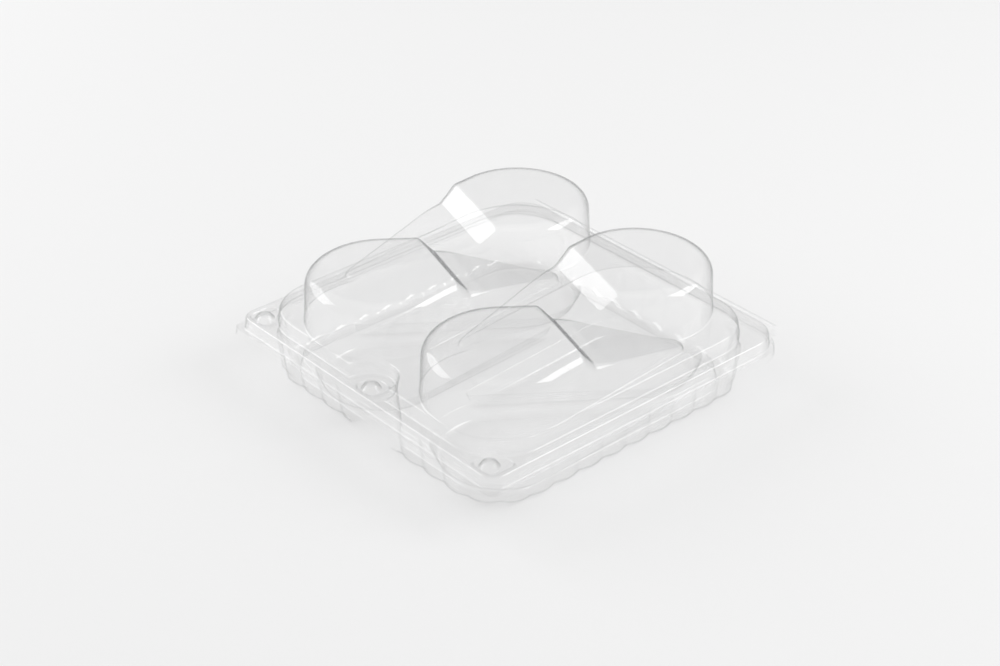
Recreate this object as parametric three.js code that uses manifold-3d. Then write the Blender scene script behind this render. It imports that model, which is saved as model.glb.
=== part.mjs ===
// Four-cell hinged clamshell pack, thermoformed from one clear sheet. Millimetres, +Z up.
// The origin is on the table under the middle of the closed pack. The hinge is on the +Y side.
import * as THREE from 'three';
import * as BufferGeometryUtils from 'three/addons/utils/BufferGeometryUtils.js';
import Module from 'manifold-3d';

// Driving dimensions
const sheet = 0.5;              // wall thickness of the formed sheet
const rimWidth = 240;           // outside of the lid's rim, at its top
const rimTop = 36;              // lid rim above the table
const rimDepth = 8.4;           // lid rim top down to the underside of its flange
const rimDraft = 0.6;           // how far the rim wall spreads on its way down
const rimBackCorner = 21;       // rim's corner radius on the hinge side, seen from above
const rimFrontCorner = 9;       // rim's corner radius at the front
const rimTopRound = 0.8;        // rounding of the rim's top edge
const flangeReach = 3.6;        // flange outside the foot of the rim wall
const flangeCorner = 12;        // corner radius of the flange
const lipDrop = 4.3;            // base lip below the flange
const lipFlare = 0.7;           // base lip leaning out at its foot
const lipOverlap = 0.1;         // base lip reaching into the plate that it hangs from
const partingGap = 0.3;         // air between the lid's flange and the base's
const nestGap = 0.4;            // air between the nested rim walls

const plateauRise = 9;          // lid plateau above its rim
const plateauWidth = 226;       // plateau across, at its foot
const plateauFront = 113;       // plateau's front edge from the middle
const plateauBack = 110;        // plateau's hinge-side edge from the middle
const plateauCorner = 36;       // corner radius of the plateau and the tray
const plateauDraft = 0.6;       // plateau wall leaning in below its top edge
const plateauTopRound = 1.2;    // rounding of the plateau's top edge

const headRadius = 48;          // round head of a cell at its foot
const tipRadius = 7.5;          // small end of a cell at its foot
const cellLength = 120;         // head centre to the end of the tail
const cellTurn = 17;            // tail's angle from the Y axis, in degrees
const domeRise = 42.3;          // flat dome top above the rim
const domeDraft = 1.2;          // dome wall leaning in below its fillet
const domeFillet = 6.5;         // fillet round the dome top
const creaseAt = 38.5;          // straight crease that ends the flat top
const rampFootAt = 45.5;        // foot of the short ramp
const rampFootRise = 33;        // ramp foot above the rim
const tailEndRise = 11;         // tail end above the rim
const outerHead = [64.2, -63.5]; // head centre whose tail leans outwards; its twin is turned half round
const innerHead = [-46.8, -63.9]; // head centre whose tail leans inwards; its twin is turned half round

const trayDraft = 3;            // tray wall leaning in on its way down
const trayFillet = 4;           // round between the tray wall and its foot
const flutePitch = 20;          // one scallop of the tray wall
const fluteDepth = 2.6;         // scallop's bulge
const fluteStart = 6;           // plain band under the tray's rim
const gutterWidth = 9;          // foot channel round the raised floor
const floorRise = 10;           // raised floor above the table
const seatMargin = 5;           // seats are this much smaller than the domes over them
const seatDraft = 4;            // seat wall leaning in at its foot
const islandDraft = 3;          // raised floor's wall leaning in at its top

const buttonRadius = 6.2;       // lid's press button
const buttonRise = 4;           // button above the rim
const buttonInset = 10;         // button centre from the rim's front edge
const cornerButtonAt = 107;     // corner buttons from the middle
const buttonDraft = 0.6;        // button leaning in at its top
const studClearance = 0.1;      // air round a stud of the base inside its button
const notchRadius = 17;         // thumb notch round the middle button
const notchFromFront = 1;       // notch centre behind the plateau's front edge
const notchFlare = 3;           // notch pillar of the base is this much wider at its foot
const pocketDepth = 1;          // shallow pocket in the rim round each button
const pocketHalf = 9.8;         // half side of a corner pocket
const pocketAt = 106.9;         // corner pocket from the middle, along X and Y
const pocketCorner = 5;         // corner radius of a corner pocket
const middlePocket = [9.6, 6.8, 6.5]; // middle pocket: half width, reach to the front, corner radius

const hingeLength = 222;        // raised hinge bead along the back edge
const hingeBeadWidth = 3;       // bead across
const hingeGap = 0.4;           // air between the hinge line and the base's edge

// Values that follow from them
const rimHalf = rimWidth / 2;
const flangeTop = rimTop - rimDepth + sheet;
const baseRimTop = rimTop - sheet - partingGap;
const baseFlangeTop = rimTop - rimDepth - partingGap;
const rimNest = sheet + nestGap;  // base's rim inside the lid's
const plateauZ = rimTop + plateauRise;
const trayTopInset = 0.4;       // tray wall inside the plateau's outline at the rim
const tipCentre = cellLength - tipRadius;
const edgeHalf = rimHalf + rimDraft + flangeReach;
const hingeY = edgeHalf - partingGap;
const buttonY = buttonInset - rimHalf;
const notchY = notchFromFront - plateauFront;
const arcSteps = 12;
const wideCorner = 30;          // corners wider than this get more points
const wideDivisions = 6;
const cornerDivisions = 3;
const cutMargin = 1;            // cutting forms reach past what they cut

const wasm = await Module();
wasm.setup();

function toSolid(geometry) {
  geometry.deleteAttribute('normal');
  geometry.deleteAttribute('uv');
  const merged = BufferGeometryUtils.mergeVertices(geometry, 1e-4);
  return new wasm.Manifold(new wasm.Mesh({
    numProp: 3,
    vertProperties: new Float32Array(merged.attributes.position.array),
    triVerts: new Uint32Array(merged.index.array),
  }));
}

function toMesh(name, solid, colour) {
  const { vertProperties, triVerts } = solid.getMesh();
  const geometry = new THREE.BufferGeometry();
  geometry.setAttribute('position', new THREE.BufferAttribute(new Float32Array(vertProperties), 3));
  geometry.setIndex(new THREE.BufferAttribute(new Uint32Array(triVerts), 1));
  geometry.computeVertexNormals();
  const material = new THREE.MeshStandardMaterial({
    color: colour, roughness: 0.08, metalness: 0, transparent: true, opacity: 0.35,
  });
  const mesh = new THREE.Mesh(geometry, material);
  mesh.name = name;
  return mesh;
}

// A closed solid through a stack of rings with equal point counts. Paired caps are strips between
// points 1 and -1, 2 and -2 and so on, for rings that are the same on both sides of their axis.
function loft(rings, pairedCaps) {
  const count = rings[0].length;
  const positions = rings.flat().flatMap((p) => [p.x, p.y, p.z]);
  const index = [];
  for (let level = 0; level + 1 < rings.length; level += 1) {
    for (let i = 0; i < count; i += 1) {
      const a = level * count + i;
      const b = level * count + ((i + 1) % count);
      index.push(a, b, b + count, a, b + count, a + count);
    }
  }
  const addCap = (ring, first, turned) => {
    const faces = [];
    if (pairedCaps) {
      const half = count / 2;
      faces.push([0, 1, count - 1], [half - 1, half, half + 1]);
      for (let i = 1; i < half - 1; i += 1) {
        faces.push([i, i + 1, count - i - 1], [i, count - i - 1, count - i]);
      }
    } else {
      const middle = ring.reduce((sum, p) => sum.add(p), new THREE.Vector3()).divideScalar(count);
      const centre = positions.length / 3 - first;
      positions.push(middle.x, middle.y, middle.z);
      for (let i = 0; i < count; i += 1) faces.push([i, (i + 1) % count, centre]);
    }
    faces.forEach(([a, b, c]) => index.push(first + a, first + (turned ? c : b), first + (turned ? b : c)));
  };
  addCap(rings[0], 0, true);
  addCap(rings[rings.length - 1], (rings.length - 1) * count, false);
  const geometry = new THREE.BufferGeometry();
  geometry.setAttribute('position', new THREE.Float32BufferAttribute(positions, 3));
  geometry.setIndex(index);
  return toSolid(geometry);
}

function lerpProfile(stops, at) {
  const last = stops[stops.length - 1];
  if (at >= last[0]) return last[1];
  const next = stops.findIndex(([place]) => place > at);
  if (next <= 0) return stops[0][1];
  const [a, b] = [stops[next - 1], stops[next]];
  return a[1] + ((b[1] - a[1]) * (at - a[0])) / (b[0] - a[0]);
}

// Rounded rectangle seen from above, counter-clockwise, with one radius on the hinge side and one at
// the front. With a step count its points are evenly spaced, and bulge moves them outwards.
function roundedRing(halfX, back, front, [backCorner, frontCorner], z, step, bulge = () => 0) {
  const path = new THREE.Path();
  path.absarc(halfX - backCorner, back - backCorner, backCorner, 0, Math.PI / 2);
  path.absarc(backCorner - halfX, back - backCorner, backCorner, Math.PI / 2, Math.PI);
  path.absarc(frontCorner - halfX, frontCorner - front, frontCorner, Math.PI, 1.5 * Math.PI);
  path.absarc(halfX - frontCorner, frontCorner - front, frontCorner, 1.5 * Math.PI, 2 * Math.PI);
  path.closePath();
  if (!step) {
    const points = path.getPoints(frontCorner > wideCorner ? wideDivisions : cornerDivisions);
    return points.filter((p, i) => p.distanceTo(points[(i + 1) % points.length]) > 0.01)
      .map((p) => new THREE.Vector3(p.x, p.y, z));
  }
  return Array.from({ length: step }, (_, i) => {
    const at = i / step;
    const point = path.getPointAt(at);
    const along = path.getTangentAt(at);
    const out = bulge(at);
    return new THREE.Vector3(point.x + along.y * out, point.y - along.x * out, z);
  });
}

function roundedBlock(halfX, back, front, corners, levels) {
  return loft(levels.map(([z, inset]) => roundedRing(
    halfX - inset, back - inset, front - inset, corners.map((radius) => radius - inset), z,
  )), false);
}

// Outline of a cell: a round head, straight sides that close on a small round tip. Both ends of the
// straight sides and the stations along them keep their places at every level.
function cellRing(inset, mostInset, stations, heightAt) {
  const head = headRadius - inset;
  const tip = tipRadius * (1 - (0.8 * inset) / mostInset);
  const lean = Math.asin((head - tip) / tipCentre);
  const side = [];
  const headSteps = arcSteps - 1;
  for (let i = 1; i <= headSteps; i += 1) {
    const turn = Math.PI - ((Math.PI / 2 + lean) * i) / headSteps;
    side.push([head * Math.cos(turn), -head * Math.sin(turn)]);
  }
  stations.forEach((s) => side.push([s, -(head - s * Math.sin(lean)) / Math.cos(lean)]));
  const tipSteps = 4;
  for (let i = 0; i < tipSteps; i += 1) {
    const turn = (Math.PI / 2 - lean) * (1 - i / tipSteps);
    side.push([tipCentre + tip * Math.cos(turn), -tip * Math.sin(turn)]);
  }
  const mirrored = side.slice().reverse().map(([s, w]) => [s, -w]);
  const outline = [[-head, 0], ...side, [tipCentre + tip, 0], ...mirrored];
  return outline.map(([s, w]) => new THREE.Vector3(s, w, heightAt(s)));
}

// Four copies of a cell: its own +X is the tail's direction
function placeCells(cell) {
  const copies = [outerHead, innerHead].flatMap(([x, y]) => [[x, y, 90 - cellTurn], [-x, -y, 270 - cellTurn]]);
  return copies.map(([x, y, turn]) => cell.rotate([0, 0, turn]).translate([x, y, 0]));
}

function addAll(first, others) {
  return others.reduce((sum, other) => sum.add(other), first);
}

// Cone or cylinder standing on the plane low
function post(x, y, lowRadius, highRadius, low, high, sides = 24) {
  const geometry = new THREE.CylinderGeometry(highRadius, lowRadius, high - low, sides);
  geometry.rotateX(Math.PI / 2);
  geometry.translate(x, y, (low + high) / 2);
  return toSolid(geometry);
}

// One dome of the lid, sunk by inset below the sheet's outer face, standing on the plane foot
function domeForm(inset, foot) {
  const stops = [
    [creaseAt, rimTop + domeRise - inset],
    [rampFootAt, rimTop + rampFootRise - inset],
    [cellLength, rimTop + tailEndRise - inset],
  ];
  const ceiling = (s) => lerpProfile(stops, s);
  const mostInset = domeDraft + domeFillet;
  const wallShare = 1 - domeFillet / (domeRise - plateauRise);
  const levels = [[0, 0], [wallShare, domeDraft]];
  [30, 60, 90].forEach((degrees) => {
    const turn = THREE.MathUtils.degToRad(degrees);
    levels.push([
      wallShare + (1 - wallShare) * Math.sin(turn),
      domeDraft + domeFillet * (1 - Math.cos(turn)),
    ]);
  });
  const stations = [creaseAt, rampFootAt, (rampFootAt + tipCentre) / 2];
  const rings = levels.map(([share, lean]) => cellRing(
    lean + inset, mostInset + sheet, stations, (s) => foot + (ceiling(s) - foot) * share,
  ));
  return loft(rings, true);
}

// Plateau of the lid with the thumb notch taken out of its front edge
function plateauForm(inset, foot) {
  const top = plateauZ - inset;
  const corner = plateauCorner - inset;
  const block = roundedBlock(plateauWidth / 2 - inset, plateauBack - inset, plateauFront - inset,
    [corner, corner],
    [[foot, 0], [top - plateauTopRound, plateauDraft], [top, plateauDraft + plateauTopRound]]);
  return block.subtract(post(0, notchY, notchRadius + inset, notchRadius + inset + plateauDraft,
    foot - cutMargin, plateauZ + cutMargin));
}

function rimForm(inset, foot, top, draft) {
  const half = rimHalf + draft - inset;
  const corners = [rimBackCorner, rimFrontCorner].map((radius) => radius + draft - inset);
  return roundedBlock(half, half, half, corners,
    [[foot, 0], [top - rimTopRound, draft], [top, draft + rimTopRound]]);
}

function flangePlate(low, high, back) {
  return roundedBlock(edgeHalf - lipFlare, back, edgeHalf - lipFlare, [flangeCorner, flangeCorner],
    [[low, 0], [high, 0]]);
}

// Pockets in the rim round the three buttons, grown sideways by grow, down to floor
function pocketForms(grow, floor) {
  const pocketTop = rimTop + cutMargin;
  const corner = pocketCorner + grow;
  const half = pocketHalf + grow;
  const square = roundedBlock(half, half, half, [corner, corner], [[floor, 0], [pocketTop, 0]]);
  const [width, reach, round] = middlePocket.map((size) => size + grow);
  const middle = roundedBlock(width, width, reach, [round, round], [[floor, 0], [pocketTop, 0]]);
  return [square.translate([-pocketAt, -pocketAt, 0]), square.translate([pocketAt, -pocketAt, 0]),
    middle.translate([0, buttonY, 0])];
}

const buttons = [-cornerButtonAt, 0, cornerButtonAt];

// Raised bead beside the hinge line: a tall narrow arch along X
function hingeBead(inset, foot, length) {
  const radius = hingeBeadWidth / 2;
  const arch = new THREE.Shape();
  arch.moveTo(inset - radius, foot);
  arch.lineTo(radius - inset, foot);
  arch.lineTo(radius - inset, rimTop - radius);
  arch.absarc(0, rimTop - radius, radius - inset, 0, Math.PI);
  arch.closePath();
  const geometry = new THREE.ExtrudeGeometry(arch, { depth: length, bevelEnabled: false, curveSegments: 5 });
  geometry.translate(0, 0, -length / 2);
  geometry.rotateX(Math.PI / 2);
  geometry.rotateZ(Math.PI / 2);
  geometry.translate(0, edgeHalf - radius, 0);
  return toSolid(geometry);
}

// The three buttons: corner ones stand in the deeper corner pockets
function buttonForms(radius, foot, top) {
  return buttons.map((x) => post(x, buttonY, radius, radius - buttonDraft, foot, top));
}

// The lid is its outer form less the same form sunk by the sheet's thickness
function makeLid() {
  const low = rimTop - rimDepth;
  const pocketFloor = rimTop - pocketDepth;
  const rim = pocketForms(0, pocketFloor).reduce((form, one) => form.subtract(one),
    rimForm(0, low, rimTop, rimDraft));
  const outside = addAll(rim, [
    flangePlate(low, flangeTop, hingeY - hingeBeadWidth / 2),
    plateauForm(0, pocketFloor - sheet / 2),
    ...placeCells(domeForm(0, plateauZ - sheet)),
    ...buttonForms(buttonRadius, pocketFloor - sheet / 2, rimTop + buttonRise),
    hingeBead(0, low, hingeLength),
  ]);
  const underside = pocketForms(sheet, pocketFloor - sheet).reduce((form, one) => form.subtract(one),
    rimForm(sheet, low - cutMargin, rimTop - sheet, rimDraft));
  const hollowFoot = pocketFloor - 2 * sheet;
  const hollow = addAll(underside, [
    plateauForm(sheet, hollowFoot),
    ...placeCells(domeForm(sheet, plateauZ - 2 * sheet)),
    ...buttonForms(buttonRadius - sheet, hollowFoot, rimTop + buttonRise - sheet),
    hingeBead(sheet, low - cutMargin, hingeLength + 2 * cutMargin),
  ]);
  return outside.subtract(hollow);
}

// Hollow of the tray, grown by sheet for its outer face: fluted wall, foot channel and raised floor
function trayForm(grow, top) {
  const floor = sheet - grow;
  const bottomHalf = plateauWidth / 2 - trayTopInset;
  const around = 2 * (2 * bottomHalf + plateauFront + plateauBack) - (8 - 2 * Math.PI) * plateauCorner;
  const flutes = Math.round(around / flutePitch);
  const step = flutes * 4;
  const ring = (z, inset, share) => roundedRing(
    bottomHalf - inset + grow, plateauBack - trayTopInset - inset + grow,
    plateauFront - trayTopInset - inset + grow,
    Array(2).fill(plateauCorner - trayTopInset - inset + grow), z, step,
    (at) => share * fluteDepth * Math.abs(Math.sin(Math.PI * flutes * at)),
  );
  const wallFoot = trayFillet + floor;
  return loft([
    ring(floor, trayDraft + trayFillet * 0.6, 0.8),
    ring(floor + trayFillet * 0.3, trayDraft + trayFillet * 0.18, 1),
    ring(wallFoot, trayDraft, 1),
    ring(baseRimTop - fluteStart - 3, 0.8, 1),
    ring(baseRimTop - fluteStart, 0.4, 0),
    ring(top, 0, 0),
  ], false);
}

// Seat of a cell in the raised floor
function seatForm(grow, top) {
  const floor = sheet - grow;
  const height = top - floor;
  const stations = [creaseAt, (creaseAt + tipCentre) / 2];
  const levels = [[0, seatDraft + 2], [0.25, seatDraft], [1, 0]];
  return loft(levels.map(([share, lean]) => (
    cellRing(seatMargin + lean - grow, headRadius, stations, () => floor + height * share)
  )), true);
}

function islandForm(grow, foot) {
  const half = plateauWidth / 2 - trayDraft - gutterWidth - grow;
  const shift = (plateauFront - plateauBack) / 2;
  const corner = plateauCorner - gutterWidth - grow;
  return roundedBlock(half, half - shift, half + shift, [corner, corner],
    [[foot, 0], [floorRise + sheet - grow, islandDraft]]);
}

function notchForm(shrink, foot, top) {
  return post(0, notchY, notchRadius + notchFlare - shrink, notchRadius - shrink, foot, top);
}

function baseHollow(grow, top) {
  const tray = trayForm(grow, top);
  const island = islandForm(grow, -1);
  const seats = placeCells(seatForm(grow, floorRise + 2));
  const raised = addAll(seats[0], seats.slice(1));
  return tray.subtract(island.subtract(raised)).subtract(notchForm(grow, -1, top + 1));
}

// The base's rim nests under the lid's, and its own pockets clear the lid's from below
function makeBase() {
  const low = baseFlangeTop - sheet;
  const draft = rimDraft / 2;
  const skirtTop = baseRimTop - sheet;
  const pocketFloor = baseRimTop - pocketDepth;
  const pocketGrow = sheet + partingGap;
  const underside = pocketForms(pocketGrow + sheet, pocketFloor - sheet).reduce(
    (form, one) => form.subtract(one), rimForm(rimNest + sheet, low - cutMargin, skirtTop, draft),
  );
  const cap = rimForm(rimNest, low, baseRimTop, draft).subtract(underside);
  const back = hingeY - hingeGap;
  const plate = flangePlate(low, baseFlangeTop, back)
    .subtract(rimForm(rimNest + sheet, low - cutMargin, skirtTop, draft));
  const edge = edgeHalf - lipFlare;
  const lipRing = (inset, z, flare) => roundedRing(edge - inset + flare, back - inset,
    edge - inset + flare, Array(2).fill(flangeCorner - inset), z);
  const lip = loft([lipRing(0, low - lipDrop, lipFlare), lipRing(0, low + lipOverlap, 0)], false)
    .subtract(loft([lipRing(sheet, low - lipDrop - lipOverlap, lipFlare),
      lipRing(sheet, low + 2 * lipOverlap, 0)], false));
  let shell = addAll(cap, [plate, lip, baseHollow(sheet, baseRimTop - sheet / 2)])
    .subtract(baseHollow(0, baseRimTop + cutMargin));
  shell = pocketForms(pocketGrow, pocketFloor).reduce((form, one) => form.subtract(one), shell);
  const studRadius = buttonRadius - 2 * sheet - studClearance;
  const studTop = rimTop + buttonRise - sheet - partingGap;
  shell = addAll(shell, buttonForms(studRadius, pocketFloor - sheet / 2, studTop));
  return buttonForms(studRadius - sheet, pocketFloor - 2 * sheet, studTop - sheet)
    .reduce((form, one) => form.subtract(one), shell);
}

const clamshell = new THREE.Group();
const base = toMesh('base_tray', makeBase(), 0xf1f4f5);
const lid = toMesh('lid', makeLid(), 0xf4f7f8);
clamshell.add(base, lid);

export default clamshell;
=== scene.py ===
import math

import bpy
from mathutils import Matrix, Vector


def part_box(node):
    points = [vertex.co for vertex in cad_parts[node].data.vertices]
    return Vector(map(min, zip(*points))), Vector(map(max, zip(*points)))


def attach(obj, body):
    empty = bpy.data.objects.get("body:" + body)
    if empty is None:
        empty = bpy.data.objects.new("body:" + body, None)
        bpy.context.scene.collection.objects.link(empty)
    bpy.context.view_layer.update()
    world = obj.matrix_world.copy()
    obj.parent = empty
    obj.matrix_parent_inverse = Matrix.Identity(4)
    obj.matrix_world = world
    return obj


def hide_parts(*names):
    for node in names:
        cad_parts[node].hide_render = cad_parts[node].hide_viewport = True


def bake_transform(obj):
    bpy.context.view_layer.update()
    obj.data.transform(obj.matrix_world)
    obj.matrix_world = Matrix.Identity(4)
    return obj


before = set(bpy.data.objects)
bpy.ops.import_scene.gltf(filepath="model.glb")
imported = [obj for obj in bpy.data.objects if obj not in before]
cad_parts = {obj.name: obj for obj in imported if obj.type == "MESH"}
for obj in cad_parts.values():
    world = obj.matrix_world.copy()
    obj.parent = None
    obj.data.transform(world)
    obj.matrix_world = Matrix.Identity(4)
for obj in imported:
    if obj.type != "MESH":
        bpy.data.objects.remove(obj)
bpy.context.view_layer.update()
print("frame loaded")

mm = 0.001
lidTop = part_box("lid")[1]


# Shader and geometry nodes

class Value:
    # A socket that can stand in a sum or product
    def __init__(self, tree, socket):
        self.tree = tree
        self.socket = socket

    def sum(self, operation, first, second):
        node = self.tree.nodes.new("ShaderNodeMath")
        node.operation = operation
        for slot, value in zip(node.inputs, (first, second)):
            setInput(self.tree, slot, value)
        return Value(self.tree, node.outputs[0])

    def __add__(self, other): return self.sum("ADD", self, other)
    def __radd__(self, other): return self.sum("ADD", other, self)
    def __sub__(self, other): return self.sum("SUBTRACT", self, other)
    def __rsub__(self, other): return self.sum("SUBTRACT", other, self)
    def __mul__(self, other): return self.sum("MULTIPLY", self, other)
    def __rmul__(self, other): return self.sum("MULTIPLY", other, self)
    def __pow__(self, other): return self.sum("POWER", self, other)


def setInput(tree, slot, value):
    if isinstance(value, Value):
        tree.links.new(value.socket, slot)
    else:
        slot.default_value = value


class Graph:
    def __init__(self, tree):
        self.tree = tree

    def node(self, kind, values=None, output=0, **settings):
        made = self.tree.nodes.new(kind)
        for name, setting in settings.items():
            setattr(made, name, setting)
        for name, value in (values or {}).items():
            setInput(self.tree, made.inputs[name], value)
        return Value(self.tree, made.outputs[output]) if made.outputs else made


# Clear sheet: what passes, what glances off, and a painted dark grey where it is seen edge on, partly the
# sheet's own absorption and partly painted shade for the darker reflections at its rims.
# The painted edge shade is set fainter on upright walls than on the tops and rounds.
clearLidLook = {
    "tint": (0.998, 0.998, 0.998, 1),
    "edgeShadeGrey": (0.10, 0.105, 0.11, 1),
    "topEdgeShade": 0.85, "wallEdgeShade": 0.30, "edgeShadePower": 5.5,
    "faceMirror": 0.035, "glanceMirror": 0.45,
    "roughness": 0.05, "roughnessSpread": 0.03,
    "waveSize": 30.0, "waveBump": 0.12,
    "drawSize": 500.0, "drawBump": 0.025, "drawStretch": 0.06,
    "bumpStrength": 0.5, "bumpDepth": 0.002,
}
# The base gets a fainter painted edge shade than the lid.
clearBaseLook = dict(clearLidLook, topEdgeShade=0.32, wallEdgeShade=0.10, tint=(0.999, 0.999, 0.999, 1))


def makeClearSheet(name, look, seed):
    material = bpy.data.materials.new(name)
    material.use_nodes = True
    material.node_tree.nodes.clear()
    g = Graph(material.node_tree)
    place = g.node("ShaderNodeTexCoord", output="Object")
    moved = g.node("ShaderNodeMapping", {"Vector": place, "Location": (seed[0], seed[1], 0)})
    waves = g.node("ShaderNodeTexNoise", {"Vector": moved, "Scale": look["waveSize"], "Detail": 0.0})
    drawn = g.node("ShaderNodeMapping", {"Vector": place, "Scale": (1, 1, look["drawStretch"])})
    streaks = g.node("ShaderNodeTexNoise", {"Vector": drawn, "Scale": look["drawSize"], "Detail": 0.0})
    height = waves * look["waveBump"] + streaks * look["drawBump"]
    normal = g.node("ShaderNodeBump", {
        "Height": height, "Strength": look["bumpStrength"], "Distance": look["bumpDepth"]})
    facing = g.node("ShaderNodeLayerWeight", {"Blend": 0.5}, output="Facing")
    wall = g.node("ShaderNodeAttribute", output="Fac", attribute_name="wallShare")
    mirror = facing ** 5 * (look["glanceMirror"] - look["faceMirror"]) + look["faceMirror"]
    # Painted shade: dark grey mixed in at grazing angles, stronger on tops and rounds than on upright walls
    edge = facing ** look["edgeShadePower"] * (look["topEdgeShade"] - wall * (look["topEdgeShade"] - look["wallEdgeShade"]))
    passing = g.node("ShaderNodeBsdfTransparent", {"Color": look["tint"]})
    body = g.node("ShaderNodeBsdfDiffuse", {"Color": look["edgeShadeGrey"]})
    gloss = g.node("ShaderNodeBsdfAnisotropic", {
        "Color": (0.98, 0.98, 0.98, 1), "Normal": normal,
        "Roughness": waves * look["roughnessSpread"] + look["roughness"],
    })
    seen = g.node("ShaderNodeMixShader", {0: edge, 1: passing, 2: body})
    whole = g.node("ShaderNodeMixShader", {0: mirror, 1: seen, 2: gloss})
    g.node("ShaderNodeOutputMaterial", {"Surface": whole})
    return material


clearLid = makeClearSheet("clearLidSheet", clearLidLook, (3.0, 2.1))
clearBase = makeClearSheet("clearBaseSheet", clearBaseLook, (11.0, 7.7))
print("materials made")


# Mesh helpers, all in millimetres

def newObject(name, points, faces):
    mesh = bpy.data.meshes.new(name)
    mesh.from_pydata([(x * mm, y * mm, z * mm) for x, y, z in points], [], faces)
    mesh.update()
    obj = bpy.data.objects.new(name, mesh)
    bpy.context.scene.collection.objects.link(obj)
    return obj


def loft(name, rings, paired=False):
    # Closed form through rings of equal count; paired caps run in strips across the ring
    count = len(rings[0])
    points = [p for ring in rings for p in ring]
    faces = []
    for level in range(len(rings) - 1):
        for i in range(count):
            a = level * count + i
            b = level * count + (i + 1) % count
            faces.append((a, b, b + count, a + count))
    half = count // 2
    if paired:
        cap = [(0, 1, count - 1), (half - 1, half, half + 1)]
        cap += [(i, i + 1, count - i - 1, count - i) for i in range(1, half - 1)]
    else:
        cap = [tuple(range(count))]
    last = (len(rings) - 1) * count
    faces += [face[::-1] for face in cap]
    faces += [tuple(last + i for i in face) for face in cap]
    return newObject(name, points, faces)


def baked(obj):
    # The object's mesh with its modifiers applied
    mesh = bpy.data.meshes.new_from_object(obj.evaluated_get(bpy.context.evaluated_depsgraph_get()))
    obj.modifiers.clear()
    old = obj.data
    obj.data = mesh
    bpy.data.meshes.remove(old)
    return obj


def combine(first, second, operation):
    change = first.modifiers.new("combine", "BOOLEAN")
    change.operation = operation
    change.solver = "MANIFOLD"
    change.object = second
    baked(first)
    bpy.data.objects.remove(second)
    return first


def join(first, *others):
    for other in others:
        combine(first, other, "UNION")
    return first


def cut(first, *others):
    for other in others:
        combine(first, other, "DIFFERENCE")
    return first


def smoothStep(t):
    t = min(max(t, 0), 1)
    return t * t * (3 - 2 * t)


def arc(inset, z, radius, start, end, steps):
    # (z, inset) round a fillet's centre: 0 is the outer side and 90 the top
    turns = [math.radians(start + (end - start) * i / steps) for i in range(steps + 1)]
    return [(z + radius * math.sin(a), inset - radius * math.cos(a)) for a in turns]


def wallProfile(skin, foot, top, form):
    # Round at the foot, leaning wall, round at the top; skin is the depth below the outer face
    low = arc(-form["footRound"], foot + form["footRound"], form["footRound"] + skin, 270, 180, 5)
    high = arc(form["lean"] + form["topRound"], top - form["topRound"], form["topRound"] - skin, 0, 90, 7)
    return low + high


def roundedRing(z, inset, form, steps=12):
    ring = []
    for sideX, sideY, start in ((1, 1, 0), (-1, 1, 90), (-1, -1, 180), (1, -1, 270)):
        corner = form["backCorner"] if sideY > 0 else form["frontCorner"]
        reach = form["back"] if sideY > 0 else form["front"]
        x, y = sideX * (form["halfX"] - corner), sideY * (reach - corner)
        radius = max(corner - inset, 0.2)
        for i in range(steps + 1):
            a = math.radians(start + 90 * i / steps)
            ring.append((x + radius * math.cos(a), y + radius * math.sin(a), z))
    return ring


def block(name, profile, form):
    return loft(name, [roundedRing(z, inset, form) for z, inset in profile])


def lathe(name, x, y, profile, sides=96):
    # profile is (z, radius) from the foot up
    turns = [2 * math.pi * i / sides for i in range(sides)]
    return loft(name, [[(x + r * math.cos(a), y + r * math.sin(a), z) for a in turns] for z, r in profile])


finish = {"sharpFrom": 40.0, "wallFade": 2.2}


def finishSheet(obj, material):
    # Smooth rounds, flat faces that stay flat in the reflections, and each point's share of upright wall
    obj.data.materials.clear()
    obj.data.materials.append(material)
    obj.data.shade_smooth()
    obj.data.set_sharp_from_angle(angle=math.radians(finish["sharpFrom"]))
    weights = obj.modifiers.new("weights", "WEIGHTED_NORMAL")
    weights.keep_sharp = True
    baked(obj)
    # wallShare sets how faint the painted edge shade is on upright walls
    walls = obj.data.attributes.new("wallShare", "FLOAT", "POINT")
    for vertex, value in zip(obj.data.vertices, walls.data):
        value.value = 1 - smoothStep(abs(vertex.normal.z) * finish["wallFade"])
    return obj


# Geometry Nodes trees for what repeats

def newTree(name, inputs):
    tree = bpy.data.node_groups.new(name, "GeometryNodeTree")
    tree.interface.new_socket("Geometry", in_out="OUTPUT", socket_type="NodeSocketGeometry")
    tree.interface.new_socket("Geometry", in_out="INPUT", socket_type="NodeSocketGeometry")
    for label, kind in inputs:
        tree.interface.new_socket(label, in_out="INPUT", socket_type=kind)
    entry = tree.nodes.new("NodeGroupInput")
    given = {socket.name: Value(tree, socket) for socket in entry.outputs if socket.name}
    return Graph(tree), given


def endTree(g, geometry, material):
    whole = g.node("GeometryNodeRealizeInstances", {"Geometry": geometry})
    dressed = g.node("GeometryNodeSetMaterial", {"Geometry": whole, "Material": material})
    g.node("NodeGroupOutput", {"Geometry": dressed})
    return g.tree


def runTree(obj, tree, values):
    modifier = obj.modifiers.new(tree.name, "NODES")
    modifier.node_group = tree
    for item in tree.interface.items_tree:
        if item.in_out == "INPUT" and item.name in values:
            modifier[item.identifier] = values[item.name]
    return baked(obj)


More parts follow.
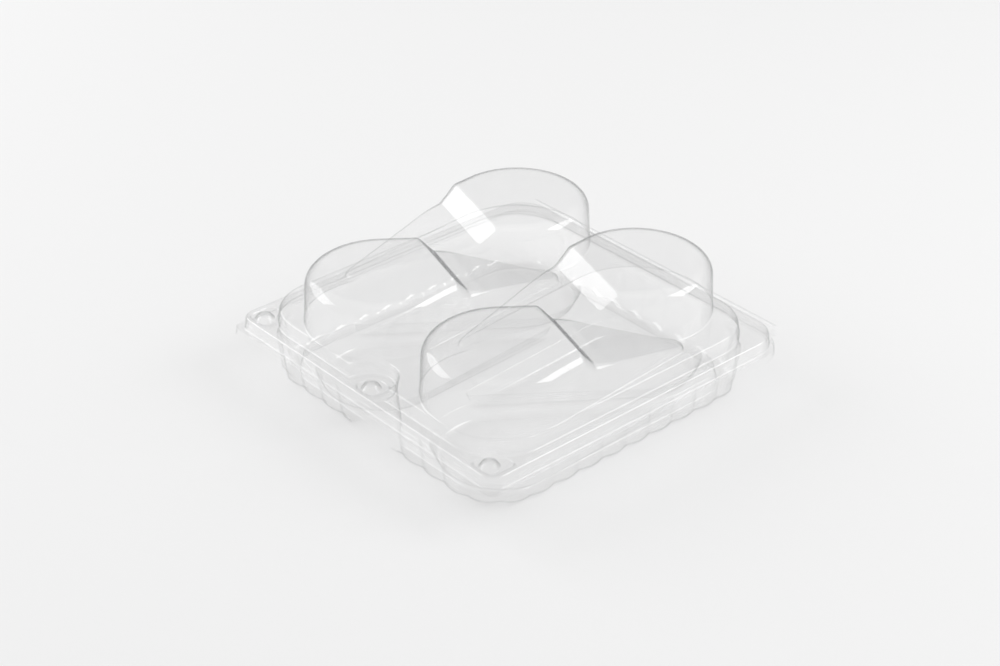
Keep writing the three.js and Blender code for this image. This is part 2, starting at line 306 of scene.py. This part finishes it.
def makePairTree():
    # A cell at its head's place and its neighbour beside it, both turned the same way
    g, given = newTree("cellPair", [("Head", "NodeSocketVector"), ("Next", "NodeSocketVector"),
                                    ("Turn", "NodeSocketFloat"), ("Sheet", "NodeSocketMaterial")])
    turn = g.node("ShaderNodeCombineXYZ", {"Z": given["Turn"]})
    first = g.node("GeometryNodeTransform", {"Geometry": given["Geometry"], "Translation": given["Head"],
                                             "Rotation": turn})
    second = g.node("GeometryNodeTransform", {"Geometry": first, "Translation": given["Next"]})
    both = g.node("GeometryNodeJoinGeometry", {"Geometry": first})
    g.tree.links.new(second.socket, both.socket.node.inputs[0])
    return endTree(g, both, given["Sheet"])


def makeRowTree():
    # One form repeated along X at an even spacing
    g, given = newTree("pressRow", [("Count", "NodeSocketInt"), ("Start", "NodeSocketVector"),
                                    ("Spacing", "NodeSocketFloat"), ("Sheet", "NodeSocketMaterial")])
    step = g.node("ShaderNodeCombineXYZ", {"X": given["Spacing"]})
    row = g.node("GeometryNodeMeshLine", {"Count": given["Count"], "Start Location": given["Start"],
                                          "Offset": step})
    placed = g.node("GeometryNodeInstanceOnPoints", {"Points": row, "Instance": given["Geometry"]})
    return endTree(g, placed, given["Sheet"])


pairTree = makePairTree()
rowTree = makeRowTree()

# Lid

sheet = 0.5
rim = {
    "halfX": 120.6, "back": 120.6, "front": 120.6, "backCorner": 21.0, "frontCorner": 9.6,
    "foot": 28.1, "top": 36.0, "footRound": 0.7, "lean": 0.6, "topRound": 1.5,
}
flange = {
    "halfX": 123.5, "back": 122.4, "front": 123.5, "backCorner": 23.0, "frontCorner": 6.0,
    "low": 27.6,
}
plateau = {
    "halfX": 113.0, "back": 110.0, "front": 113.0, "backCorner": 36.0, "frontCorner": 36.0,
    "foot": 36.0, "top": 45.0, "footRound": 1.2, "lean": 1.0, "topRound": 1.7,
    "notchX": 0.0, "notchY": -112.0, "notchRadius": 17.0,
}
cell = {
    "headRadius": 48.0, "tipRadius": 7.5, "length": 120.0,
    "foot": 45.0, "topRise": 78.3, "footRound": 1.2, "lean": 1.2, "topRound": 9.5, "tailRound": 2.6,
    "rampFootZ": 67.5, "tailEndZ": 47.0, "creaseRound": 0.9,
    "headSteps": 40, "tipSteps": 12, "tailStations": 10,
}
# Where the two heads of a pair stand, how their tails turn, and where the roof's ramp starts and ends
frontPair = {"heads": ((64.2, -63.5), (-46.8, -63.9)), "turn": 73.0, "creaseAt": 37.0, "rampFootAt": 46.5}
backPair = {"heads": ((46.8, 63.9), (-64.2, 63.5)), "turn": 253.0, "creaseAt": 29.5, "rampFootAt": 41.0}
button = {
    "y": -110.0, "spacing": 107.0, "radius": 6.2, "top": 38.6, "foot": 34.7,
    "footRound": 0.5, "lean": 1.7, "topRound": 0.9, "lift": 0.3, "root": 0.3, "rootUnder": 1.2,
}
pocket = {
    "halfX": 9.8, "back": 9.8, "front": 9.8, "backCorner": 5.0, "frontCorner": 5.0,
    "at": 106.9, "y": -106.9, "depth": 1.0, "lean": 0.6,
    "middleHalf": 9.6, "middleFront": 6.8, "middleCorner": 6.5,
}


def ceilingAt(pair, s):
    # Height of the cell's roof along its axis, its creases eased over creaseRound
    stops = [(-cell["length"], cell["topRise"]), (pair["creaseAt"], cell["topRise"]),
             (pair["rampFootAt"], cell["rampFootZ"]), (cell["length"], cell["tailEndZ"]),
             (cell["length"] + 9, cell["tailEndZ"] - 2)]

    def straight(at):
        for (s0, z0), (s1, z1) in zip(stops, stops[1:]):
            if at <= s1:
                return z0 + (z1 - z0) * (at - s0) / (s1 - s0)
        return stops[-1][1]

    steps = 8
    spread = [straight(s + cell["creaseRound"] * (2 * k / steps - 1)) for k in range(steps + 1)]
    return sum(spread) / len(spread)


def cellMarks(pair):
    # Where the outline's points are: on the head, along the straight side, or round the tip
    eased = [-1.2, -0.6, 0, 0.6, 1.2]
    stations = [22.0, 26.0] + [pair["creaseAt"] + e for e in eased]
    stations += [(pair["creaseAt"] + pair["rampFootAt"]) / 2] + [pair["rampFootAt"] + e for e in eased]
    tail = cell["length"] - cell["tipRadius"] - pair["rampFootAt"]
    stations += [pair["rampFootAt"] + tail * (i + 1) / (cell["tailStations"] + 1)
                 for i in range(cell["tailStations"])]
    marks = [("head", i / cell["headSteps"]) for i in range(1, cell["headSteps"] + 1)]
    marks += [("side", s) for s in stations]
    marks += [("tip", i / cell["tipSteps"]) for i in range(cell["tipSteps"])]
    return marks


def cellPoint(kind, at, inset):
    head = cell["headRadius"] - inset
    tip = max(cell["tipRadius"] - inset * 0.85, 0.6)
    centre = cell["length"] - cell["tipRadius"]
    lean = math.asin((head - tip) / centre)
    if kind == "head":
        turn = math.pi - (math.pi / 2 + lean) * at
        return head * math.cos(turn), -head * math.sin(turn)
    if kind == "side":
        return at, -(head - at * math.sin(lean)) / math.cos(lean)
    turn = (math.pi / 2 - lean) * (1 - at)
    return centre + tip * math.cos(turn), -tip * math.sin(turn)


def tailShare(pair, kind, at):
    # 0 over the head and 1 at the end of the tail
    if kind == "head":
        return 0.0
    if kind == "tip":
        return 1.0
    return smoothStep((at - pair["creaseAt"]) / (pair["rampFootAt"] + 14 - pair["creaseAt"]))


def cellForm(name, pair, skin):
    # One dome with its ramp and tail: own +X is the tail's direction
    marks = [("head", 0.0)] + cellMarks(pair)
    end = ("end", 1.0)
    footSteps, topSteps = 4, 8
    levels = [("drop", 0)] + [("foot", i / footSteps) for i in range(footSteps + 1)]
    levels += [("top", i / topSteps) for i in range(topSteps + 1)]

    def ringPoint(mark, level):
        kind, at = mark
        share = tailShare(pair, kind if kind != "end" else "tip", at)
        roundWide = cell["topRound"] + (cell["tailRound"] - cell["topRound"]) * share
        where, step = level
        s0, _ = cellPoint("tip" if kind == "end" else kind, at, 0)
        if kind == "end":
            s0 = cell["length"]
        height = ceilingAt(pair, s0) - cell["foot"]
        footRound = min(cell["footRound"], 0.3 * height)
        roundHigh = min(roundWide, 0.6 * height)
        lean = cell["lean"] * max(height - roundHigh - footRound, 0) / 25
        if where in ("drop", "foot"):
            a = math.radians(270 - 90 * step)
            inset = -footRound - (footRound + skin) * math.cos(a)
            z = cell["foot"] + footRound + (footRound + skin) * math.sin(a)
            if where == "drop":
                z -= 1.5 if skin else 0.25
            return mark, inset, z
        a = math.radians(90 * step)
        inset = lean + roundWide - (roundWide - skin) * math.cos(a)
        drop = roundHigh - (roundHigh - min(skin, roundHigh * 0.8)) * math.sin(a)
        return mark, inset, drop

    rings = []
    for level in levels:
        side, ends = [], []
        for mark in marks + [end]:
            (kind, at), inset, z = ringPoint(mark, level)
            s, w = cellPoint("tip" if kind == "end" else kind, at, inset)
            if level[0] == "top":
                z = ceilingAt(pair, s) - z
            if mark == marks[0] or kind == "end":
                ends.append((s, 0.0, z))
            else:
                side.append((s, w, z))
        rings.append([ends[0], *side, ends[1], *[(s, -w, z) for s, w, z in reversed(side)]])
    return loft(name, rings, paired=True)


def placePair(form, pair, material):
    (ax, ay), (bx, by) = pair["heads"]
    return runTree(form, pairTree, {
        "Head": (ax * mm, ay * mm, 0), "Next": ((bx - ax) * mm, (by - ay) * mm, 0),
        "Turn": math.radians(pair["turn"]), "Sheet": material})


def notchCutter(name, skin, low):
    profile = wallProfile(skin, plateau["foot"], plateau["top"], plateau)
    rings = [(z, plateau["notchRadius"] + inset) for z, inset in profile]
    rings = [(low, rings[0][1])] + rings + [(plateau["top"] + 2, rings[-1][1])]
    return lathe(name, plateau["notchX"], plateau["notchY"], rings, 128)


def pocketCutter(name, grow, top, skin=0.0):
    # Shallow pockets in the rim round the three press buttons
    floor = top - pocket["depth"] - skin
    profile = [(floor, pocket["lean"] - grow), (floor + 0.3, pocket["lean"] - 0.2 - grow),
               (top - 0.3, 0.1 - grow), (top, -grow), (top + 2, -grow)]
    made = []
    for x, form in ((-pocket["at"], pocket), (pocket["at"], pocket), (0, dict(
            pocket, halfX=pocket["middleHalf"], back=pocket["middleHalf"], front=pocket["middleFront"],
            backCorner=pocket["middleCorner"], frontCorner=pocket["middleCorner"]))):
        y = pocket["y"] if x else button["y"]
        rings = [[(px + x, py + y, pz) for px, py, pz in roundedRing(z, inset, form, 8)]
                 for z, inset in profile]
        made.append(loft(name, rings))
    return join(*made)


def placeRow(name, form, skin, material):
    # Three round forms along the front: the lid's buttons, or the base's studs under them
    profile = wallProfile(skin, form["foot"] + form["lift"], form["top"], form)
    rings = [(z, form["radius"] - inset) for z, inset in profile]
    root = form["rootUnder"] if skin else form["root"]
    one = lathe(name, 0, 0, [(rings[0][0] - root, rings[0][1])] + rings, 48)
    return runTree(one, rowTree, {"Count": 3, "Spacing": button["spacing"] * mm, "Sheet": material,
                                  "Start": (-button["spacing"] * mm, button["y"] * mm, 0)})


def archRing(x, y, radius, low, top, steps=12):
    ring = [(x, y - radius, low), (x, y + radius, low)]
    for i in range(steps + 1):
        a = math.pi * i / steps
        ring.append((x, y + radius * math.cos(a), top - radius + radius * math.sin(a)))
    return ring


hinge = {"length": 222.0, "width": 3.0, "low": 27.6, "top": 36.0, "y": lidTop.y / mm - 1.5}


def hingeBead(name, skin):
    half = hinge["length"] / 2 + (1 if skin else 0)
    radius, low = hinge["width"] / 2 - skin, hinge["low"] - (1 if skin else 0)
    return loft(name, [archRing(x, hinge["y"], radius, low, hinge["top"] - skin) for x in (-half, half)])


def makeLid():
    rimWall = wallProfile(0, rim["foot"], rim["top"], rim)
    outside = block("lid_shell", [(rim["foot"] - 0.3, rimWall[0][1])] + rimWall, rim)
    cut(outside, pocketCutter("pockets", 0, rim["top"]))
    plateWall = wallProfile(0, plateau["foot"], plateau["top"], plateau)
    table = block("plateau", [(plateau["foot"] - 1.25, plateWall[0][1])] + plateWall, plateau)
    cut(table, notchCutter("notch", 0, plateau["foot"] - 3))
    plate = block("flange", [(flange["low"], 0), (flange["low"] + sheet, 0)], flange)
    join(outside, table, plate, hingeBead("bead", 0), placeRow("buttons", button, 0, clearLid),
         placePair(cellForm("frontCells", frontPair, 0), frontPair, clearLid),
         placePair(cellForm("backCells", backPair, 0), backPair, clearLid))

    rimInner = wallProfile(sheet, rim["foot"], rim["top"], rim)
    hollow = block("hollow", [(flange["low"] - 1, rimInner[0][1])] + rimInner, rim)
    cut(hollow, pocketCutter("pocketsUnder", sheet, rim["top"], sheet))
    plateInner = wallProfile(sheet, plateau["foot"], plateau["top"], plateau)
    under = block("under", [(plateau["foot"] - 2.5, plateInner[0][1])] + plateInner, plateau)
    cut(under, notchCutter("notchUnder", sheet, plateau["foot"] - 5))
    join(hollow, under, hingeBead("beadUnder", sheet), placeRow("buttonsUnder", button, sheet, clearLid),
         placePair(cellForm("frontUnder", frontPair, sheet), frontPair, clearLid),
         placePair(cellForm("backUnder", backPair, sheet), backPair, clearLid))
    return finishSheet(cut(outside, hollow), clearLid)


lid = makeLid()
print("lid made", len(lid.data.polygons))

# Base tray

nest = {
    "halfX": 119.4, "back": 119.4, "front": 119.4, "backCorner": 20.4, "frontCorner": 8.4,
    "foot": 27.3, "top": 35.2, "footRound": 0.4, "lean": 0.3, "topRound": 0.9, "pocketGrow": 0.8,
}
skirt = {
    "halfX": 123.5, "back": 123.5, "front": 123.5, "backCorner": 23.0, "frontCorner": 6.0,
    "low": 26.8, "drop": 4.3, "flare": 0.7, "hingeRoom": 0.7, "edge": 0.3, "lipEdge": 0.4,
}
tray = {
    "halfX": 112.6, "back": 109.6, "front": 112.6, "corner": 35.6, "floor": 0.5, "lean": 3.0, "lipLean": 0.4,
    "footRound": 4.0, "footShare": 0.55, "wallLevels": 8,
    "flutes": 42, "perFlute": 12, "fluteDepth": 2.6, "fluteTop": 29.2, "fluteEase": 4.0,
}
raisedFloor = {
    "halfX": 101.0, "back": 99.5, "front": 102.5, "backCorner": 27.0, "frontCorner": 27.0,
    "foot": 0.5, "top": 10.5, "footRound": 1.6, "lean": 1.6, "topRound": 1.6,
}
seat = {"margin": 5.0, "lean": 4.0, "footRound": 3.0, "lipRound": 1.2, "lipIn": 0.4, "above": 13.0}
# Heights and how far the pillar stands out from the thumb notch there
pillar = {"foot": [(-3, 5), (0.5, 4.4), (1.6, 3.3)], "sides": 128}
stud = {
    "radius": 5.4, "top": 37.9, "foot": 33.95,
    "footRound": 0.5, "lean": 1.6, "topRound": 0.8, "lift": 0.25, "root": 0.2, "rootUnder": 1.0,
}


def flutedRing(z, inset, share, grow):
    # Evenly spaced points round the tray's outline, pushed out into scallops
    radius = tray["corner"] - inset + grow
    halfX, back, front = (tray[k] - inset + grow for k in ("halfX", "back", "front"))
    turn = math.pi / 2
    parts = [("arc", halfX - radius, back - radius, 0),
             ("line", halfX - radius, back, 2 * (halfX - radius), turn),
             ("arc", radius - halfX, back - radius, turn),
             ("line", -halfX, back - radius, back + front - 2 * radius, 2 * turn),
             ("arc", radius - halfX, radius - front, 2 * turn),
             ("line", radius - halfX, -front, 2 * (halfX - radius), 3 * turn),
             ("arc", halfX - radius, radius - front, 3 * turn),
             ("line", halfX, radius - front, back + front - 2 * radius, 4 * turn)]
    lengths = [radius * turn if part[0] == "arc" else part[3] for part in parts]
    count = tray["flutes"] * tray["perFlute"]
    around = sum(lengths)
    ring = []
    for i in range(count):
        along = around * i / count
        k = 0
        while along > lengths[k]:
            along -= lengths[k]
            k += 1
        part = parts[k]
        if part[0] == "arc":
            a = part[3] + along / radius
            outX, outY = math.cos(a), math.sin(a)
            x, y = part[1] + radius * outX, part[2] + radius * outY
        else:
            outX, outY = math.cos(part[4]), math.sin(part[4])
            x, y = part[1] - outY * along, part[2] + outX * along
        wave = math.sqrt(math.sin(math.pi * tray["flutes"] * i / count) ** 2 + 0.01)
        out = share * tray["fluteDepth"] * wave
        ring.append((x + outX * out, y + outY * out, z))
    return ring


def trayHollow(name, skin, top):
    # The room inside the tray; skin grows it by the sheet for the outer face
    start = tray["floor"] + tray["footRound"]
    rounding = arc(tray["lean"] + tray["footRound"], start, tray["footRound"] + skin, -90, 0, 5)
    rings = []
    for k, (z, inset) in enumerate(rounding):
        share = min(1.0, tray["footShare"] + (1 - tray["footShare"]) * k / 4)
        rings.append(flutedRing(z, inset, share, 0))
    for k in range(1, tray["wallLevels"] + 1):
        t = k / tray["wallLevels"]
        z = start + (tray["fluteTop"] - start) * t
        share = 1 - smoothStep(max(0, (z - tray["fluteTop"] + tray["fluteEase"]) / tray["fluteEase"]))
        rings.append(flutedRing(z, tray["lean"] - (tray["lean"] - tray["lipLean"]) * t, share, skin))
    rings.append(flutedRing(top, 0, 0, skin))
    return loft(name, rings)


def seatForm(name, skin):
    # Dished seat with the outline of a cell, cut down into the raised floor
    low = arc(seat["margin"] + seat["lean"] + seat["footRound"], raisedFloor["foot"] + seat["footRound"],
              seat["footRound"] + skin, 270, 360, 5)
    high = arc(seat["margin"] - seat["lipIn"], raisedFloor["top"] - seat["lipRound"],
               seat["lipRound"] - skin, 180, 90, 4)
    profile = low + high + [(seat["above"], high[-1][1])]
    marks = [("head", 0.0)] + cellMarks(frontPair)
    rings = []
    for z, inset in profile:
        side = [(*cellPoint(kind, at, inset), z) for kind, at in marks]
        tip = (cellPoint("tip", 1.0, inset)[0], 0.0, z)
        first = (side[0][0], 0.0, z)
        side = side[1:]
        rings.append([first, *side, tip, *[(s, -w, z) for s, w, z in reversed(side)]])
    return loft(name, rings, paired=True)


def makeRaisedFloor(name, skin):
    profile = wallProfile(skin, raisedFloor["foot"], raisedFloor["top"], raisedFloor)
    island = block(name, [(-3, profile[0][1])] + profile, raisedFloor)
    return cut(island, placePair(seatForm(name + "Front", skin), frontPair, clearBase),
               placePair(seatForm(name + "Back", skin), backPair, clearBase))


def pillarForm(name, skin, top):
    # Half-round pillar that carries the middle button, standing in the tray's front wall
    rings = [(z, plateau["notchRadius"] + out - skin) for z, out in pillar["foot"] + [(top, 0)]]
    return lathe(name, plateau["notchX"], plateau["notchY"], rings, pillar["sides"])


def trayRoom(name, skin, top):
    room = trayHollow(name, skin, top)
    return cut(room, makeRaisedFloor(name + "Floor", skin), pillarForm(name + "Pillar", skin, top + 2))


def skirtRing(z, inset, flare):
    # The skirt flares at the front and sides and stays straight along the hinge
    form = dict(skirt, back=hinge["y"] + hinge["width"] / 2 - skirt["hingeRoom"] - inset)
    for side in ("halfX", "front"):
        form[side] = skirt[side] + flare - inset
    for corner in ("backCorner", "frontCorner"):
        form[corner] = skirt[corner] - inset
    return roundedRing(z, 0, form)


def makeBase():
    wall = wallProfile(0, nest["foot"], nest["top"], nest)
    inner = wallProfile(sheet, nest["foot"], nest["top"], nest)
    low, drop = skirt["low"], skirt["drop"]
    edge, lipEdge, flare = skirt["edge"], skirt["lipEdge"], skirt["flare"]
    shell = block("base_shell", [(nest["foot"] - 0.3, wall[0][1])] + wall, nest)
    under = block("rimUnder", [(low - 1, inner[0][1])] + inner, nest)
    cut(under, pocketCutter("pitsUnder", nest["pocketGrow"] + sheet, nest["top"], sheet))
    cut(shell, under)
    plate = loft("plate", [skirtRing(low, 0, 0), skirtRing(low + edge, 0, -0.05),
                           skirtRing(low + sheet, edge, -0.1)])
    hole = block("plateHole", [(low - 1, inner[0][1]), (nest["foot"] - sheet, inner[0][1])] + inner, nest)
    cut(plate, hole)
    lip = loft("lip", [skirtRing(low - drop, 0, flare),
                       skirtRing(low - drop + lipEdge, 0, flare - lipEdge / 2),
                       skirtRing(low + 0.1, 0, 0)])
    lipRoom = loft("lipRoom", [skirtRing(low - drop - 0.1, sheet, flare), skirtRing(low + 0.2, sheet, 0)])
    cut(lip, lipRoom)
    join(shell, plate, lip, trayRoom("trayOuter", sheet, nest["top"] - sheet / 2))
    cut(shell, trayRoom("trayRoom", 0, nest["top"] + 1),
        pocketCutter("pits", nest["pocketGrow"], nest["top"]))
    join(shell, placeRow("studs", stud, 0, clearBase))
    cut(shell, placeRow("studsUnder", stud, sheet, clearBase))
    return finishSheet(shell, clearBase)


base = makeBase()
print("base made", len(base.data.polygons))

# Thin web of the hinge: its lower edge meets the base and its upper edge the lid

web = {"length": 221.0, "from": 123.15, "reach": 0.55, "low": 27.12, "high": 27.78, "skin": 0.14, "steps": 8}


def makeWeb():
    half, rings = web["length"] / 2, []
    middle, rise = (web["low"] + web["high"]) / 2, (web["high"] - web["low"]) / 2
    turns = [math.radians(-90 + 180 * i / web["steps"]) for i in range(web["steps"] + 1)]
    outer = [(web["from"] + web["reach"] * math.cos(a), middle + rise * math.sin(a)) for a in turns]
    inner = [(web["from"] + (web["reach"] - web["skin"]) * math.cos(a),
              middle + (rise - web["skin"]) * math.sin(a)) for a in reversed(turns)]
    for x in (-half, half):
        rings.append([(x, y, z) for y, z in outer + inner])
    return finishSheet(loft("hinge_web", rings, paired=True), clearBase)


hingeWeb = makeWeb()
print("hinge web made", len(hingeWeb.data.polygons))

# Camera at the photograph's angle, pale floor and soft light

view = {
    "place": (0.85435, -0.76033, 0.73351), "target": (0.00461, -0.01193, 0.036),
    "lens": 77.34,
}


def addCamera():
    camera = bpy.data.objects.new("camera", bpy.data.cameras.new("camera"))
    bpy.context.scene.collection.objects.link(camera)
    camera.data.lens = view["lens"]
    camera.data.sensor_width = 36
    camera.location = view["place"]
    towards = Vector(view["target"]) - Vector(view["place"])
    camera.rotation_euler = towards.to_track_quat("-Z", "Y").to_euler()
    bpy.context.scene.camera = camera


studio = {
    "floor": (0.835, 0.835, 0.835, 1),
    "sky": (1.0, 1.0, 1.0, 1), "skyStrength": 0.68,
    "boxes": [
        # place, aim, width, height, power
        ((-1.80, -0.92, 1.05), (0, 0, 0.03), 2.1, 1.3, 21.0),
        ((1.15, 1.25, 1.45), (0, 0, 0.03), 1.4, 1.1, 18.0),
        ((0.1, -0.1, 2.6), (0, 0, 0), 1.6, 1.6, 2.0),
    ],
}


def addStudio():
    floor = newObject("floor", [(-6000, -6000, -0.05), (6000, -6000, -0.05), (6000, 6000, -0.05),
                                (-6000, 6000, -0.05)], [(0, 1, 2, 3)])
    material = bpy.data.materials.new("paleFloor")
    material.use_nodes = True
    material.node_tree.nodes.clear()
    g = Graph(material.node_tree)
    place = g.node("ShaderNodeTexCoord", output="Object")
    grain = g.node("ShaderNodeTexNoise", {"Vector": place, "Scale": 40.0})
    surface = g.node("ShaderNodeBsdfPrincipled", {"Base Color": studio["floor"], "Specular IOR Level": 0.2,
                                                  "Roughness": grain * 0.1 + 0.6})
    g.node("ShaderNodeOutputMaterial", {"Surface": surface})
    floor.data.materials.append(material)

    world = bpy.data.worlds.new("studio")
    bpy.context.scene.world = world
    world.use_nodes = True
    world.node_tree.nodes.clear()
    g = Graph(world.node_tree)
    sky = g.node("ShaderNodeBackground", {"Color": studio["sky"], "Strength": studio["skyStrength"]})
    g.node("ShaderNodeOutputWorld", {"Surface": sky})
    for i, (place, aim, width, height, power) in enumerate(studio["boxes"]):
        lamp = bpy.data.lights.new("softbox%d" % i, "AREA")
        lamp.shape, lamp.size, lamp.size_y, lamp.energy = "RECTANGLE", width, height, power
        holder = bpy.data.objects.new(lamp.name, lamp)
        bpy.context.scene.collection.objects.link(holder)
        holder.location = place
        holder.rotation_euler = (Vector(aim) - Vector(place)).to_track_quat("-Z", "Y").to_euler()


addCamera()
addStudio()
bpy.context.scene.view_settings.view_transform = "Standard"
bpy.context.scene.cycles.transparent_max_bounces = 40
bpy.context.scene.cycles.max_bounces = 6
bpy.context.scene.cycles.glossy_bounces = 3
bpy.context.scene.cycles.diffuse_bounces = 2
print("camera and light set")

for piece, node, body, slot in ((lid, "lid", "lid", "clear_lid"), (base, "base_tray", "base", "clear_base")):
    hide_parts(node)
    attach(piece, body)

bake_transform(hingeWeb)
